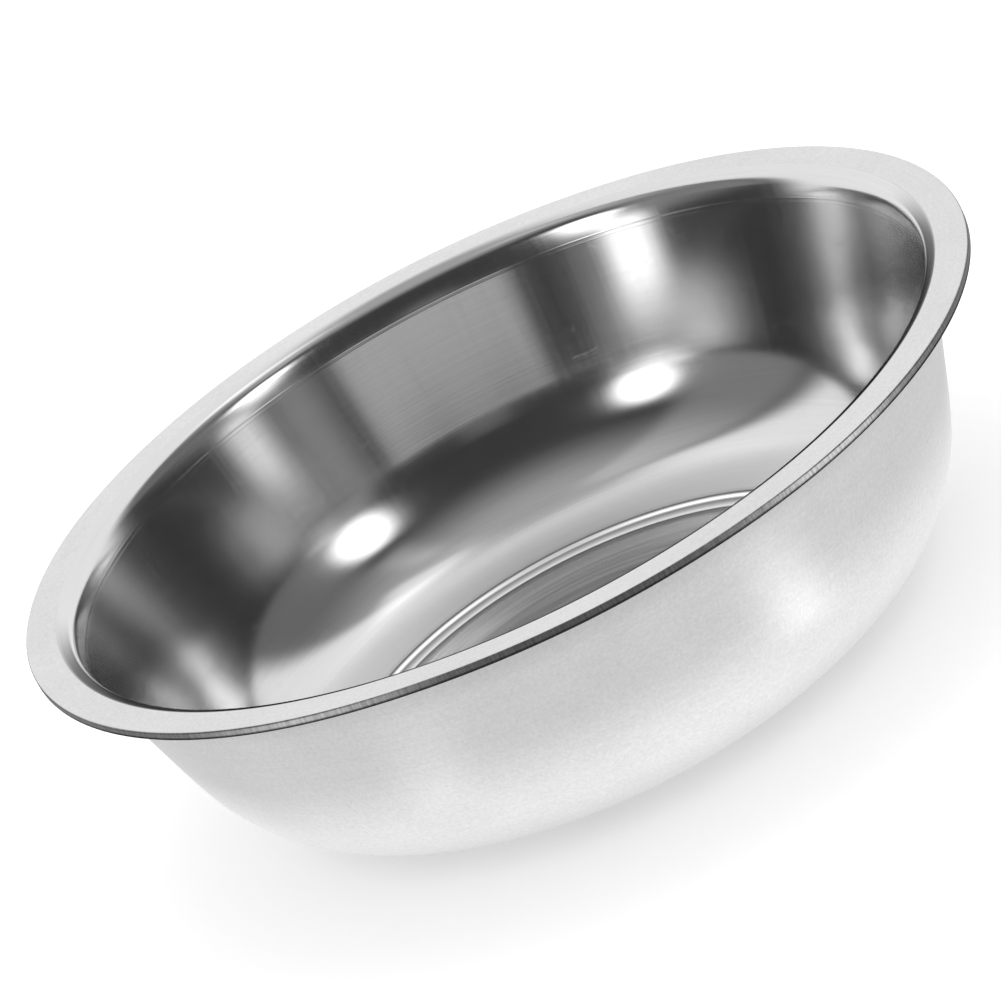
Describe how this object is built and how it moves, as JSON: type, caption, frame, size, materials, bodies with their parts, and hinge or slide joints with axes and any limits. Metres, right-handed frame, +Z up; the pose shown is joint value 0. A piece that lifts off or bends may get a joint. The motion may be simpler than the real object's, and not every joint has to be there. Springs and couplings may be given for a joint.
{
  "type": "foot bath basin",
  "caption": "Round pressed steel foot bath basin with a flat rim, drafted wall, rounded floor corner and a stepped-down flat foot disc.",
  "frame": {"origin": "centre of the underside of the foot disc, which is the lowest point of the basin", "axes": "+Z up along the basin's axis of revolution; X and Y are any two directions across the rim"},
  "size_m": [0.34, 0.34, 0.097],
  "materials": {
    "steel": "satin on the rim and outside, brighter brushed polish inside with a finely spun floor disc"
  },
  "bodies": {
    "root": {"basin": "steel"}
  },
  "joints": []
}
